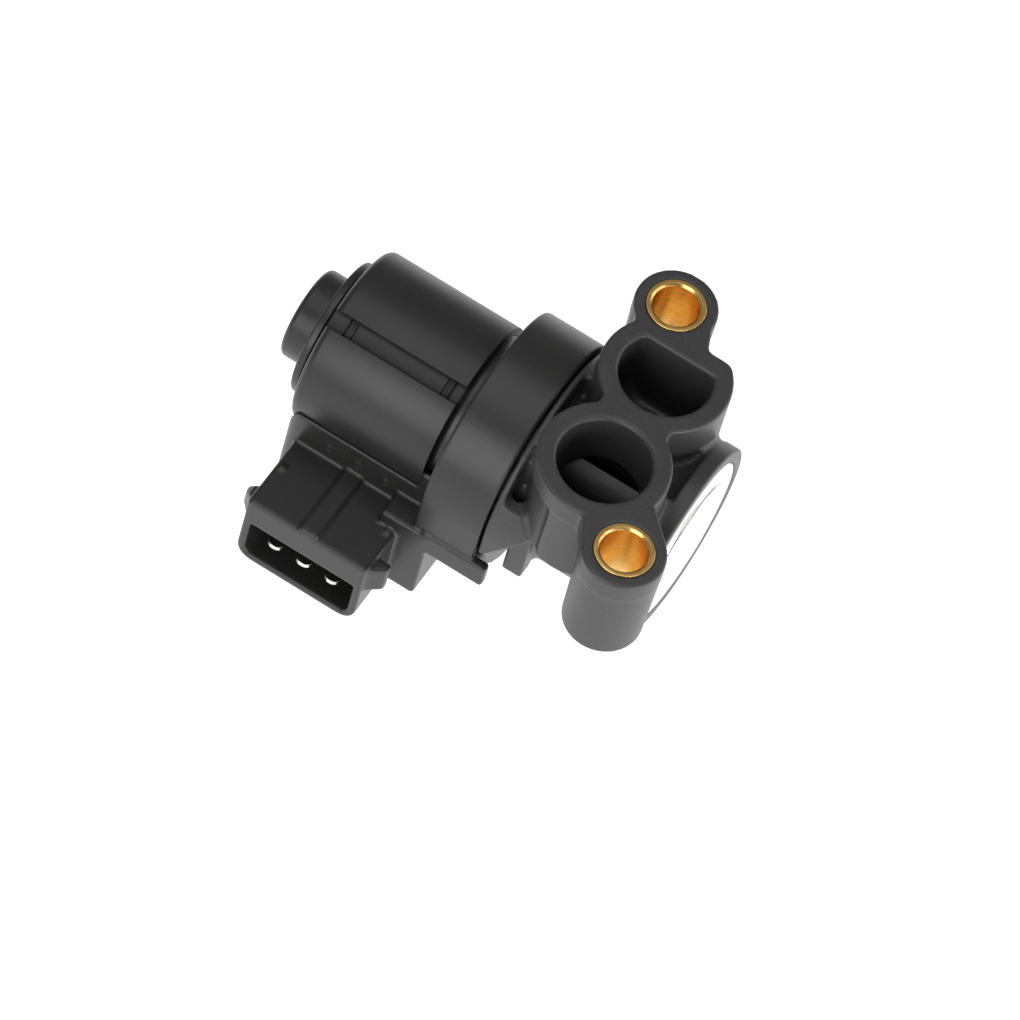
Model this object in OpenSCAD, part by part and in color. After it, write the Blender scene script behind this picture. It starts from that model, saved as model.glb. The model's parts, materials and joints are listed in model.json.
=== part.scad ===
// Rotary idle air control valve: a moulded valve housing with two air ports,
// closed by a rotary shutter that a two coil actuator turns against two stops.
// The origin is the centre of the round port on the port face.
// X runs along the rotor from the rear cap to the end cover, Z points out of the port face.

/* [Ports] */
// Radius of the round port
port_r = 7.2; // [6.6:0.1:7.8]
// Wall round both ports
port_wall = 2.95; // [2.4:0.05:3.4]
// Draft of the port tubes over their length
port_draft = 0.3; // [0:0.1:0.6]
// Depth of the port bores to their floor
port_depth = 15; // [14:0.5:16]
// Radius between the bore and its floor
port_floor_r = 4; // [2:0.5:5]
// Thickness of the floor under the bores
port_floor = 2; // [1.5:0.1:2.5]
// Distance of the second port from the round port, along Y
second_port_y = 18.6; // [17.6:0.1:19.6]
// Distance of the second port from the round port, along X
second_port_x = -0.4; // [-1:0.1:0.5]
// Distance of the flat from the centre of the second port
port_flat = 4.05; // [3.5:0.05:5]
// Distance of the straight outer edge from the centre of the second port
second_edge = 7.4; // [7:0.1:7.8]
// Radius of the outer corners of the second port
second_corner = 2.4; // [1.8:0.1:3]
// Length by which the second port's tube is longer than the round one
second_extra = 4; // [3:0.5:5]
// Chamfer round the mouth of the ports
port_chamfer = 0.4; // [0.2:0.1:0.5]
// Thickness of the port plate
plate_t = 4; // [3:0.5:6]
// Thickness of the webs from the ports to the screw posts
web_w = 2.5; // [2:0.1:3]
// Half width of the neck between the rings of the two ports
neck_half = 6; // [5:0.1:7]
// Where the plate's edge towards the upper post leaves the second port, from its centre
upper_edge_left = [-8.6, 5.6]; // [-9:0.1:6]
upper_edge_right = [2.7, 8]; // [2:0.1:9]
// Where the plate's edge towards the lower post leaves the round port
lower_edge_left = [2.2, -9.9]; // [-10:0.1:3]
lower_edge_right = [9.9, -2.2]; // [-3:0.1:10]
// Depth of the hollow in the left side of the round port's tube
relief = 0.6; // [0.4:0.1:0.8]
// Angle from X at which that hollow starts
relief_from = 178; // [170:1:185]
// Angle that the hollow covers
relief_sweep = 74; // [60:1:80]

/* [Screw posts] */
// Place of the upper screw post
upper_post = [-5.4, 30]; // [-6:0.1:31]
// Place of the lower screw post
lower_post = [10.3, -11.6]; // [-13:0.1:12]
// Radius of the posts at the port face
post_r = 6.4; // [6:0.1:7]
// Taper of the posts over their length
post_taper = 0.3; // [0:0.1:0.5]
// Length of the posts
post_len = 19.3; // [18:0.1:20]
// Chamfer at the foot of the posts
post_chamfer = 0.8; // [0.3:0.1:1.2]
// Outer radius of the brass sleeves
sleeve_r = 4.6; // [4.3:0.05:4.9]
// Inner radius of the brass sleeves
sleeve_bore_r = 3.6; // [3.2:0.05:3.8]
// Height of the sleeves above the port face
sleeve_proud = 0.1; // [0:0.05:0.3]
// Chamfer at the ends of the sleeve bores
sleeve_chamfer = 0.35; // [0.1:0.05:0.5]

/* [Valve chamber] */
// Distance of the rotor axis from the round port, along Y
axis_y = 9.3; // [9:0.1:9.6]
// Depth of the rotor axis below the port face
axis_depth = 21.65; // [21.2:0.05:22]
// Inner radius of the chamber
chamber_r = 11.7; // [11.4:0.1:12]
// Wall of the chamber
chamber_wall = 1.8; // [1.5:0.1:2.2]
// Start of the chamber along X
chamber_x0 = -8.4; // [-8.8:0.1:-8]
// End of the chamber along X
chamber_x1 = 9.6; // [9.2:0.1:10]
// Thickness of the wall between chamber and actuator
chamber_end_t = 2.4; // [2:0.1:2.8]
// Outer radius of the end flange
end_flange_r = 15.85; // [15.4:0.05:16.4]
// Thickness of the end flange
end_flange_t = 2.6; // [2:0.1:3]
// Radius of the hollow between chamber and end flange
end_flare_r = 2.3; // [1.8:0.1:2.8]
// Outer face of the end flange along X
end_x = 13.1; // [12.8:0.1:13.6]
// Radius of the end cover
cover_r = 13.5; // [13.2:0.1:13.8]
// Thickness of the end cover
cover_t = 1.9; // [1.5:0.1:2.2]
// Step that lifts the middle of the end cover
cover_step = 0.5; // [0.3:0.1:0.8]
// Width of the step round the end cover
cover_edge = 3.4; // [2.5:0.1:4]
// Section radius of the rubber ring under the end cover
cover_seal_r = 0.55; // [0.5:0.05:0.6]
// Wall and depth of the rim that centres the end cover
cover_rim = 1.2; // [1:0.1:1.5]

/* [Housing joint] */
// Outer radius of the joint flange
joint_r = 18.2; // [17.8:0.1:18.4]
// Thickness of the joint flange
joint_t = 0.95; // [0.8:0.05:1.2]
// Height of the lower corner of the joint flange
joint_foot = -25.6; // [-26.5:0.1:-25]
// Black seam between housing and actuator
seam = 0.45; // [0.3:0.05:0.6]
// Length of the spigot that centres the housing in the actuator
spigot_len = 2.1; // [1.6:0.1:2.6]
// Wall of the spigot
spigot_wall = 1.2; // [1:0.1:1.6]
// Section size of the rubber ring in the joint
joint_seal_r = 0.6; // [0.5:0.05:0.7]
// Thickness of the lap tongue beside the joint
tongue_t = 2; // [1.6:0.1:2.4]
// Reach of the lap tongue along X
tongue_w = 5.5; // [5:0.1:6]
// Height of the lap tongue
tongue_h = 10.9; // [10:0.1:12]
// Slanted upper corner of the lap tongue, along X and down
tongue_nose = [2.2, 2.8]; // [1.5:0.1:3]
// Blunt tip of the lap tongue, along X and down
tongue_tip = [0.9, 1.9]; // [0.5:0.1:2.4]
// Upper edge of the lap tongue
tongue_top = -14; // [-14.5:0.1:-13.5]
// Place of the locating leg along X
leg_x = -8.3; // [-9:0.1:-8]
// Front face of the locating leg along Y
leg_y = -6.4; // [-7:0.1:-6]
// Width of the locating leg
leg_w = 3.2; // [2.8:0.1:3.6]
// Thickness of the locating leg
leg_t = 3; // [2:0.1:4]
// Foot of the locating leg
leg_foot = -29.6; // [-30.5:0.1:-28.5]

/* [Actuator collar] */
// Outer radius of the collar
collar_r = 18.55; // [18.2:0.05:19]
// Length of the collar along X
collar_len = 10.1; // [9.5:0.05:10.5]
// Wall of the collar
collar_wall = 2.4; // [2:0.1:2.8]
// Height of the ledge under the skirt
skirt_ledge = -27.7; // [-28.5:0.1:-27]
// Foot of the block under the skirt
skirt_foot = -32; // [-33:0.1:-31]
// Step of the block under the skirt
ledge_step = 0.45; // [0.3:0.05:0.7]
// Length of the tab that the block lays over the housing joint
tab_len = 2.6; // [2:0.1:3]
// Thickness of that tab
tab_t = 1.5; // [1.2:0.1:1.7]
// Thickness of the wall between collar and groove
web_t = 1.8; // [1.5:0.1:2]
// Wall round the front bearing
hub_wall = 1.7; // [1.4:0.1:2]
// Depth of the open groove between collar and shell
neck_step = 0.8; // [0.5:0.1:1.2]
// Width of the open groove between collar and shell
neck_len = 2.3; // [1.8:0.1:2.8]

/* [Actuator shell] */
// Outer radius of the steel shell
shell_r = 14.45; // [14.2:0.05:14.8]
// Thickness of the shell
shell_t = 1.3; // [1:0.1:1.5]
// Length of the shell along X
shell_len = 23.1; // [22.5:0.1:24]
// Radius of the turned in rear edge of the shell
shell_edge = 1.1; // [0.8:0.1:1.2]
// Angle of the open seam from Y towards Z
seam_angle = 118.4; // [110:0.2:130]
// Width of the open seam in degrees
seam_width = 12.4; // [10:0.2:15]

/* [Rear cap] */
// Step from the shell in to the rear disc
disc_step = 3.3; // [3:0.1:3.6]
// Thickness of the rear disc
disc_t = 1.3; // [1:0.1:1.8]
// Edge radius of the rear disc
disc_edge = 0.4; // [0.2:0.1:0.6]
// Width of the slit between the rear disc and the shell
slit_w = 0.65; // [0.4:0.05:0.9]
// Depth of that slit below the edge of the disc
slit_t = 1.2; // [0.8:0.1:1.6]
// Radius of the bearing boss
boss_r = 7.4; // [7.1:0.1:7.8]
// Length of the bearing boss
boss_len = 4.4; // [4:0.1:5]
// Edge radius of the bearing boss
boss_edge = 0.9; // [0.4:0.1:1.4]

/* [Carrier and connector] */
// Distance by which the carrier stands proud of the shell
carrier_proud = 0.05; // [0.05:0.05:0.2]
// Height of the ledge where the carrier meets the shell
carrier_top = -20.8; // [-21.5:0.1:-20]
// Foot of the carrier
carrier_foot = -41; // [-42:0.1:-40]
// Radius of the upright corner of the carrier
carrier_corner = 2; // [1:0.1:3]
// Middle of the connector along X
plug_x = -34.75; // [-35.5:0.05:-34.2]
// Outer width of the connector shroud
plug_w = 20.6; // [20:0.1:21.2]
// Top of the connector shroud
plug_top = -30.85; // [-31.4:0.05:-30.4]
// Height of the connector shroud
plug_h = 14.2; // [13.6:0.1:14.8]
// Length of the shroud in front of the carrier
plug_len = 13.5; // [12.5:0.1:14.5]
// Thick upper wall of the shroud
plug_roof = 5.3; // [4.8:0.1:5.8]
// Side and lower wall of the shroud
plug_wall = 1.15; // [1:0.05:1.3]
// Outer corner radius at the foot of the shroud
plug_corner = 2.6; // [2:0.1:3.2]
// Depth of the plug socket
socket_depth = 10.5; // [9.5:0.1:11.5]
// Distance between neighbouring terminals
terminal_pitch = 5; // [4.8:0.1:5.2]
// Width of a terminal
terminal_w = 2.8; // [2.4:0.1:3]
// Thickness of a terminal
terminal_t = 0.8; // [0.6:0.05:1]
// Distance of the terminal tips behind the shroud mouth
terminal_recess = 0.9; // [0.5:0.1:2]
// Width of the key rib on the shroud
key_w = 2.9; // [2.4:0.1:3.4]
// Height of the key rib
key_h = 0.7; // [0.5:0.1:1]

/* [Rotor] */
// Radius of the rotor shaft
shaft_r = 2; // [1.8:0.1:2.2]
// Wall of the magnet
magnet_wall = 2.4; // [2:0.1:2.8]
// Length of the magnet along X
magnet_len = 14.5; // [13:0.5:15]
// Gap between the shutter skirt and the chamber
shutter_gap = 0.25; // [0.15:0.05:0.4]
// Wall of the shutter skirt
shutter_wall = 1.7; // [1.4:0.1:2.2]
// Angle that the shutter skirt covers
shutter_sweep = 68; // [60:1:76]
// Angle of the middle of the shutter skirt from Y towards Z
shutter_angle = 144; // [140:1:150]
// Turn from rest to the closed stop
turn_back = 25; // [20:1:28]
// Turn from rest to the open stop
turn_on = 35; // [30:1:38]
// Radius of the stop pin
stop_r = 1; // [0.8:0.1:1.2]
// Distance of the stop pin from the rotor axis
stop_place = 6.2; // [5.8:0.1:6.6]

/* [Bearings] */
// Outer radius of the ball bearings
bearing_r = 5.5; // [5.3:0.1:5.7]
// Width of the ball bearings
bearing_w = 3.6; // [3:0.1:4]
// Radius of the balls
ball_r = 1; // [0.9:0.05:1.1]
// Number of balls in a bearing
ball_count = 7; // [6:1:8]

/* [Stator] */
// Gap between the magnet and the pole claws
air_gap = 0.5; // [0.4:0.05:0.7]
// Thickness of the pole plates and claws
pole_t = 1.1; // [1:0.05:1.3]
// Number of claws on each pole plate
claw_count = 2; // [2:1:3]
// Wall of the coil bobbin
bobbin_wall = 0.8; // [0.6:0.05:1]
// Thickness of the black cover over the windings
coil_cover_t = 0.6; // [0.5:0.05:0.8]
// Depth of the windings
winding_t = 2.2; // [1.8:0.1:2.6]
// Room that the windings leave under the flanges of the bobbin
winding_room = 0.3; // [0.2:0.1:0.5]

/* [Fits] */
// Clearance between pieces that are pressed together
press_gap = 0.02; // [0.01:0.01:0.04]
// Clearance between pieces that slide together
slide_gap = 0.1; // [0.05:0.01:0.15]
// Clearance between the shaft and what it turns in
run_gap = 0.05; // [0.03:0.01:0.08]

/* [Hidden] */
$fn = 96;

bite = 0.01;
reach = 80;
plastic = "dimgray";
black = [0.13, 0.13, 0.14];

axis_z = -axis_depth;
port_outer_r = port_r + port_wall;
tube_len = port_depth + port_floor;
chamber_outer_r = chamber_r + chamber_wall;
housing_x0 = chamber_x0 - chamber_end_t;
joint_x0 = housing_x0 - joint_t;
collar_x1 = joint_x0 - seam;
collar_x0 = collar_x1 - collar_len;
shell_x1 = collar_x0 - neck_len;
shell_x0 = shell_x1 - shell_len;
shell_in_r = shell_r - shell_t;
disc_r = shell_r - disc_step;
disc_x1 = shell_x0 - slit_w;
disc_x0 = disc_x1 - disc_t;
boss_x0 = disc_x0 - boss_len;
neck_r = shell_r - neck_step;
cavity_r = collar_r - collar_wall;
spigot_r = cavity_r - slide_gap;
inner_spigot = 1.9;
skirt_y = axis_y - collar_r;

front_bearing_x = collar_x0 + web_t + 1.2;
rear_bearing_x = boss_x0 + 1.6;
bearing_mid_r = (bearing_r + shaft_r) / 2;
race_gap = 0.65;
groove_r = ball_r + run_gap;

stator_x0 = shell_x0 + 3;
stator_x1 = shell_x1 - inner_spigot - slide_gap;
bobbin_x0 = stator_x0 + pole_t + slide_gap;
bobbin_x1 = stator_x1 - pole_t - slide_gap;
coil_cover_r = shell_in_r - slide_gap;
bobbin_out_r = coil_cover_r - coil_cover_t - slide_gap;
winding_r = bobbin_out_r - winding_room;
bobbin_in_r = winding_r - winding_t - bobbin_wall;
claw_out_r = bobbin_in_r - slide_gap;
claw_in_r = claw_out_r - pole_t;
magnet_r = claw_in_r - air_gap;
bobbin_mid = (bobbin_x0 + bobbin_x1) / 2;
magnet_x0 = bobbin_mid - magnet_len / 2;

shutter_r = chamber_r - shutter_gap;
shutter_x0 = chamber_x0 + 0.5;
shutter_x1 = chamber_x1 - 0.6;
shutter_disc = 1.4;
hub_r = 3.6;
stop_angle = 300;
cover_x0 = end_x - cover_t;
seal_groove = 2 * cover_seal_r + 0.5;
bush_r = shaft_r + 1.3;
bush_len = 3;
shaft_x0 = boss_x0 + 1.1;
shaft_x1 = cover_x0 - 0.3;
clip_x = rear_bearing_x + bearing_w + 0.15;
clip_t = 0.6;
seal_r = 4.4;
seal_len = 2.4;
seal_lip = 0.9;

carrier_y = axis_y - shell_r - carrier_proud;
carrier_x0 = shell_x0 + 0.4;
plug_y = carrier_y - plug_len;
plug_foot = plug_top - plug_h;
socket_top = plug_top - plug_roof;
socket_foot = plug_foot + plug_wall;
socket_half = plug_w / 2 - plug_wall;
terminal_z = (socket_top + socket_foot) / 2;
terminal_y = plug_y + terminal_recess;
block_y1 = axis_y + 3.5;
cheek_x1 = collar_x0 + 2.9;
cheek_y = skirt_y - 0.65;
cheek_top = skirt_ledge - 0.5;
cheek_foot = plug_foot + 1.8;

// Moves a shape modelled round Z onto the rotor axis, with its foot at x
module on_axis(x) {
  translate([x, axis_y, axis_z]) rotate([90, 0, 90]) children();
}

// Ring round the rotor axis from x0 to x1
module ring(x0, x1, outer, inner) {
  on_axis(x0) difference() {
    cylinder(h = x1 - x0, r = outer);
    translate([0, 0, -1]) cylinder(h = x1 - x0 + 2, r = inner);
  }
}

// Rod round the rotor axis from x0 to x1
module rod(x0, x1, r) {
  on_axis(x0) cylinder(h = x1 - x0, r = r);
}

// Sector of a ring between two angles from Y towards Z
module sector(x0, x1, outer, inner, from, sweep) {
  on_axis(x0) rotate([0, 0, from]) rotate_extrude(angle = sweep)
    translate([inner, 0]) square([outer - inner, x1 - x0]);
}

// Box given by its two corners
module block(a, b) {
  translate(a) cube(b - a);
}

// Round bar along Z with its upper end at the port face
module post_shape(place) {
  translate([place[0], place[1], -post_len]) {
    cylinder(h = post_chamfer, r1 = post_r - post_taper - post_chamfer, r2 = post_r - post_taper);
    translate([0, 0, post_chamfer - bite])
      cylinder(h = post_len - post_chamfer + bite, r1 = post_r - post_taper, r2 = post_r);
  }
}

// Outside of a port tube
module tube_shape(length) {
  translate([0, 0, -length]) cylinder(h = length, r1 = port_outer_r - port_draft, r2 = port_outer_r);
}

// Inside of a port with a rounded floor and a chamfered mouth
module port_bore() {
  rotate_extrude() {
    difference() {
      translate([0, -port_depth]) square([port_r, port_depth + 1]);
      translate([port_r - port_floor_r, -port_depth]) square(port_floor_r);
    }
    translate([port_r - port_floor_r, port_floor_r - port_depth]) intersection() {
      circle(port_floor_r);
      translate([0, -port_floor_r]) square(port_floor_r);
    }
  }
  translate([0, 0, -port_chamfer])
    cylinder(h = port_chamfer + bite, r1 = port_r, r2 = port_r + port_chamfer);
}

// Plan of the port plate with its webs to the screw posts
module plate_plan() {
  circle(port_outer_r);
  second_outer();
  translate(upper_post) circle(post_r);
  translate(lower_post) circle(post_r);
  between = second_port_y / 2;
  second = [second_port_x, second_port_y];
  polygon([
    [-neck_half, between - 0.9], [neck_half, between - 1.7],
    [neck_half - 0.8, between + 1.3], [-neck_half, between + 0.9]
  ]);
  polygon([
    upper_post + [0.5 - post_r, -2.4], second + upper_edge_left, second,
    second + upper_edge_right, upper_post + [post_r - 0.1, 0]
  ]);
  polygon([
    lower_post + [-0.8 * post_r, -0.6 * post_r], lower_edge_left, lower_edge_right,
    lower_post + [0.7 * post_r, 0.73 * post_r]
  ]);
}

// Outside of the second port, cut off behind its flat
module second_outer() {
  corner_y = second_edge - second_corner;
  turn = asin(corner_y / (port_outer_r - second_corner));
  corner_x = (port_outer_r - second_corner) * cos(turn);
  translate([second_port_x, second_port_y]) {
    intersection() {
      circle(port_outer_r);
      translate([-port_outer_r, -port_outer_r])
        square([2 * port_outer_r, port_outer_r + port_outer_r * sin(turn)]);
    }
    translate([-corner_x, 0]) square([2 * corner_x, second_edge]);
    for (side = [-1, 1]) translate([side * corner_x, corner_y]) circle(second_corner);
  }
}

// Ring profile that flares from the chamber to the end flange
module end_flare() {
  flare_x = end_x - end_flange_t - end_flare_r;
  on_axis(flare_x) rotate_extrude() difference() {
    square([end_flange_r, end_flare_r + end_flange_t]);
    translate([end_flange_r, 0]) circle(end_flare_r);
  }
}

// Plan of the joint flange, round with the square lower corner of the actuator
module joint_plan() {
  circle(joint_r);
  translate([-joint_r, joint_foot - axis_z]) square([joint_r, axis_z - joint_foot]);
}

// Lap tongue that widens the rim of the joint flange
module joint_tongue() {
  root_x = joint_x0 + joint_t / 2;
  x1 = housing_x0 + tongue_w;
  tip_z = tongue_top - tongue_nose[1];
  foot_z = tongue_top - tongue_h;
  intersection() {
    on_axis(joint_x0) linear_extrude(joint_t + tongue_w) difference() {
      joint_plan();
      circle(joint_r - tongue_t);
    }
    translate([0, axis_y, 0]) rotate([90, 0, 0]) linear_extrude(2 * joint_r) polygon([
      [root_x, tongue_top], [x1 - tongue_nose[0], tongue_top], [x1, tip_z],
      [x1 - tongue_tip[0] / 4, tip_z - 0.6 * tongue_tip[1]], [x1 - tongue_tip[0], tip_z - tongue_tip[1]],
      [housing_x0 + 0.4, foot_z + 0.2], [root_x, foot_z]
    ]);
  }
}

// Locating leg under the round port's tube
module locating_leg() {
  block([leg_x, leg_y, leg_foot], [leg_x + leg_w, leg_y + leg_t, port_floor - tube_len]);
}

module valve_housing() {
  color(plastic) difference() {
    union() {
      translate([0, 0, -plate_t]) linear_extrude(plate_t) plate_plan();
      difference() {
        tube_shape(tube_len);
        tube_relief();
      }
      translate([0, 0, -tube_len - second_extra]) linear_extrude(tube_len + second_extra) second_outer();
      post_shape(upper_post);
      post_shape(lower_post);
      post_web(upper_post, [second_port_x, second_port_y]);
      post_web(lower_post, [0, 0]);
      rod(housing_x0, end_x - end_flange_t, chamber_outer_r);
      end_flare();
      on_axis(joint_x0) linear_extrude(joint_t) joint_plan();
      rod(joint_x0, housing_x0 + bite, chamber_outer_r);
      ring(joint_x0 - spigot_len, joint_x0 + bite, spigot_r, spigot_r - spigot_wall);
      rod(joint_x0 - spigot_len, joint_x0 + bite, seal_r + 1.2);
      joint_tongue();
      locating_leg();
    }
    port_bore();
    translate([second_port_x, second_port_y, 0]) intersection() {
      port_bore();
      translate([-reach / 2, -reach / 2, -reach / 2]) cube([reach, reach / 2 + port_flat, reach]);
    }
    rod(chamber_x0, end_x + 1, chamber_r);
    rod(cover_x0 - slide_gap, end_x + 1, cover_r + slide_gap);
    rod(cover_x0 - seal_groove, end_x, chamber_r + 2 * (cover_seal_r + run_gap));
    for (place = [upper_post, lower_post])
      translate([place[0], place[1], -reach / 2]) cylinder(h = reach, r = sleeve_r + press_gap);
    rod(joint_x0 - spigot_len - 1, joint_x0 - spigot_len + seal_len, seal_r + press_gap);
    rod(joint_x0 - spigot_len, chamber_x0 + 1, shaft_r + 0.8);
    on_stop(chamber_x0 - 2.1) cylinder(h = 3, r = stop_r + press_gap);
    groove_ring();
  }
}

// Upright web from a screw post to its port tube
module post_web(post, centre) {
  run = post - centre;
  translate([centre[0], centre[1], -tube_len]) rotate([0, 0, atan2(run[1], run[0])])
    translate([port_r + 1, -web_w / 2, 0]) cube([norm(run) - port_r - sleeve_r - 1.5, web_w, tube_len - 1]);
}

// Hollow in the left side of the round port's tube, under the plate
module tube_relief() {
  translate([0, 0, -tube_len - 1]) rotate([0, 0, relief_from]) rotate_extrude(angle = relief_sweep)
    translate([port_outer_r - port_draft - relief, 0]) square([2 * relief + port_draft + 1, tube_len - 1.2]);
}

// Groove in the spigot that holds the joint seal
module groove_ring() {
  ring(joint_x0 - 2 * joint_seal_r - 0.1, joint_x0, spigot_r + 1, spigot_r - joint_seal_r);
}

// Puts a shape modelled along Z at the stop pin, with its foot at x
module on_stop(x) {
  on_axis(x) rotate([0, 0, stop_angle]) translate([stop_place, 0, 0]) children();
}

module stop_pin() {
  color("silver") on_stop(chamber_x0 - 2) cylinder(h = 4, r = stop_r);
}

module end_cover() {
  color("silver") difference() {
    union() {
      rod(cover_x0, end_x, cover_r);
      rod(end_x - bite, end_x + cover_step, cover_r - cover_edge);
      rod(cover_x0 - bush_len + 1, cover_x0 + bite, bush_r + 1.2);
      ring(cover_x0 - cover_rim, cover_x0 + bite, chamber_r - slide_gap, chamber_r - slide_gap - cover_rim);
    }
    rod(cover_x0 - bush_len, cover_x0 + 0.9, bush_r + press_gap);
  }
}

module cover_bush() {
  color("peru") ring(cover_x0 - bush_len + 1, cover_x0 + 0.85, bush_r, shaft_r + run_gap);
}

module end_cover_seal() {
  color(black) on_axis(cover_x0 - seal_groove / 2) rotate_extrude()
    translate([chamber_r + cover_seal_r + run_gap, 0]) circle(cover_seal_r);
}

// Brass sleeve that carries the screw load through a post
module sleeve(place) {
  length = post_len + 2 * sleeve_proud;
  color("gold") translate([place[0], place[1], -post_len - sleeve_proud]) rotate_extrude() polygon([
    [sleeve_bore_r, sleeve_chamfer], [sleeve_bore_r + sleeve_chamfer, 0], [sleeve_r, 0], [sleeve_r, length],
    [sleeve_bore_r + sleeve_chamfer, length], [sleeve_bore_r, length - sleeve_chamfer]
  ]);
}

module sleeve_upper() {
  sleeve(upper_post);
}

module sleeve_lower() {
  sleeve(lower_post);
}

// Rubber shaft seal with a lip at each end
module shaft_seal() {
  color(black) on_axis(joint_x0 - spigot_len) rotate_extrude() {
    translate([shaft_r + 1, 0]) square([seal_r - shaft_r - 1, seal_len - 0.1]);
    polygon([
      [shaft_r + run_gap, seal_len - 0.1], [shaft_r + run_gap, seal_len - 0.1 - seal_lip / 2],
      [shaft_r + 1 + bite, seal_len - 0.1 - seal_lip * 1.5], [shaft_r + 1 + bite, seal_len - 0.1]
    ]);
  }
}

module joint_seal() {
  thick = joint_seal_r + slide_gap - 2 * press_gap;
  inner = spigot_r - joint_seal_r + press_gap;
  color(black) ring(joint_x0 - 2 * joint_seal_r, joint_x0 - slide_gap, inner + thick, inner);
}

// Side view of the carrier under the shell, with a rounded upright corner
module carrier_plan() {
  x0 = carrier_x0;
  y1 = 2 * axis_y - carrier_y;
  for (y = [carrier_y + carrier_corner, y1 - carrier_corner])
    translate([x0 + carrier_corner, y]) circle(carrier_corner);
  translate([x0 + carrier_corner, carrier_y])
    square([collar_x0 - x0 - carrier_corner + 1, y1 - carrier_y]);
  translate([x0, carrier_y + carrier_corner])
    square([carrier_corner + bite, y1 - carrier_y - 2 * carrier_corner]);
}

// Outline of the connector shroud with round lower corners, seen from its mouth
module plug_plan(inset, low, high) {
  r = plug_corner - inset;
  half = plug_w / 2 - inset;
  for (side = [-1, 1]) translate([side * (half - r), low + r]) circle(r);
  translate([-half, low + r]) square([2 * half, high - low - r]);
  translate([r - half, low]) square([2 * (half - r), high - low]);
}

// Extrudes an outline in the plane of X and Z from y0 to y1 at the connector
module plug_run(y0, y1) {
  translate([plug_x, y1, 0]) rotate([90, 0, 0]) linear_extrude(y1 - y0) children();
}

// Ramp on the side of the shroud that the plug's spring snaps over
module plug_lug(side) {
  lug_z = plug_top - 1;
  translate([plug_x + side * plug_w / 2, 0, lug_z - 4.4]) linear_extrude(4.4) polygon([
    [-side * 0.5, plug_y + 1.1], [side * 0.2, plug_y + 1.1], [side * 1.7, plug_y + 2.8],
    [side * 1.7, plug_y + 3.7], [-side * 0.5, plug_y + 3.7]
  ]);
}

module actuator_body() {
  color(black) difference() {
    union() {
      collar_shape();
      rod(shell_x1, collar_x0 + bite, neck_r);
      rod(shell_x1 - inner_spigot, shell_x1 + bite, shell_in_r - slide_gap);
      carrier_shape();
      connector_shape();
    }
    ring(shell_x0 - 1, shell_x1, shell_r + slide_gap, shell_in_r - slide_gap / 2);
    rod(shell_x0 - 1, shell_x1 - inner_spigot, shell_r);
    rod(shell_x1 - inner_spigot - 1, collar_x0 + 0.6, magnet_r + 1);
    rod(collar_x0, collar_x1, shaft_r + 0.7);
    rod(front_bearing_x, collar_x1 + 1, bearing_r + press_gap);
    ring(collar_x0 + web_t, collar_x1 + 1, cavity_r, bearing_r + hub_wall);
    rod(front_bearing_x + bearing_w + 0.3, collar_x1 + 1, cavity_r);
    plug_run(plug_y - 1, plug_y + socket_depth) plug_plan(plug_wall, socket_foot, socket_top);
    for (step = [-1, 0, 1]) terminal_slot(step);
    block([plug_x - plug_w / 2 + 2, axis_y - 4, plug_foot - 1],
      [plug_x + plug_w / 2 - 2, block_y1 + 1, terminal_z - 2.4]);
  }
}

// Round collar with its flat skirt and the block under it
module collar_shape() {
  rod(collar_x0, collar_x1, collar_r);
  block([collar_x0, skirt_y, skirt_ledge], [collar_x1, axis_y - cavity_r, axis_z]);
  block([cheek_x1 - 1, skirt_y - ledge_step, skirt_foot], [collar_x1, axis_y - 8, skirt_ledge]);
  block([collar_x1 - 1, skirt_y - ledge_step, skirt_foot],
    [collar_x1 + tab_len, skirt_y - ledge_step + tab_t, skirt_ledge]);
}

// Cradle round the lower half of the shell, block behind the connector and cheek beside it
module carrier_shape() {
  under = axis_z - shell_r - shell_t;
  difference() {
    translate([0, 0, under]) linear_extrude(carrier_top - under) carrier_plan();
    block([collar_x0 + 0.5, carrier_y - 1, under - 1],
      [collar_x0 + 3, 2 * axis_y - carrier_y + 1, carrier_top + 1]);
  }
  translate([0, 0, carrier_foot]) linear_extrude(under - carrier_foot + bite) intersection() {
    carrier_plan();
    translate([carrier_x0, carrier_y]) square([collar_x0 - carrier_x0, block_y1 - carrier_y]);
  }
  block([plug_x - plug_w / 2, carrier_y, plug_foot], [plug_x + plug_w / 2, block_y1, carrier_foot + bite]);
  block([plug_x + plug_w / 2 - 3, cheek_y, cheek_foot], [cheek_x1, block_y1 - 3, cheek_top]);
  for (step = [-1, 0, 1], z = [plug_top + 2, plug_top + 3.3])
    translate([plug_x + step * terminal_pitch, carrier_y + 0.5, z]) rotate([90, 0, 0])
      cylinder(h = 0.75, r = 0.35);
}

// Connector shroud with key rib, marks and snap lugs
module connector_shape() {
  plug_run(plug_y, carrier_y + 1) plug_plan(0, plug_foot, plug_top);
  block([plug_x - key_w / 2, plug_y + 0.1, plug_top - 1],
    [plug_x + key_w / 2, carrier_y + 0.1, plug_top + key_h]);
  for (side = [-1, 1]) {
    plug_lug(side);
    translate([plug_x + side * (plug_w / 2 - 0.95), carrier_y - 5.5, plug_top - 0.5])
      cylinder(h = 0.75, r = 0.45);
  }
}

// Passage of one terminal through the connector block
module terminal_slot(step) {
  x = plug_x + step * terminal_pitch;
  half = terminal_w / 2 + press_gap;
  thick = terminal_t / 2 + press_gap;
  block([x - half, plug_y, terminal_z - thick], [x + half, axis_y + thick, terminal_z + thick]);
  block([x - half, axis_y - thick, terminal_z - thick], [x + half, axis_y + thick, axis_z - shell_r + 1]);
}

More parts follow.
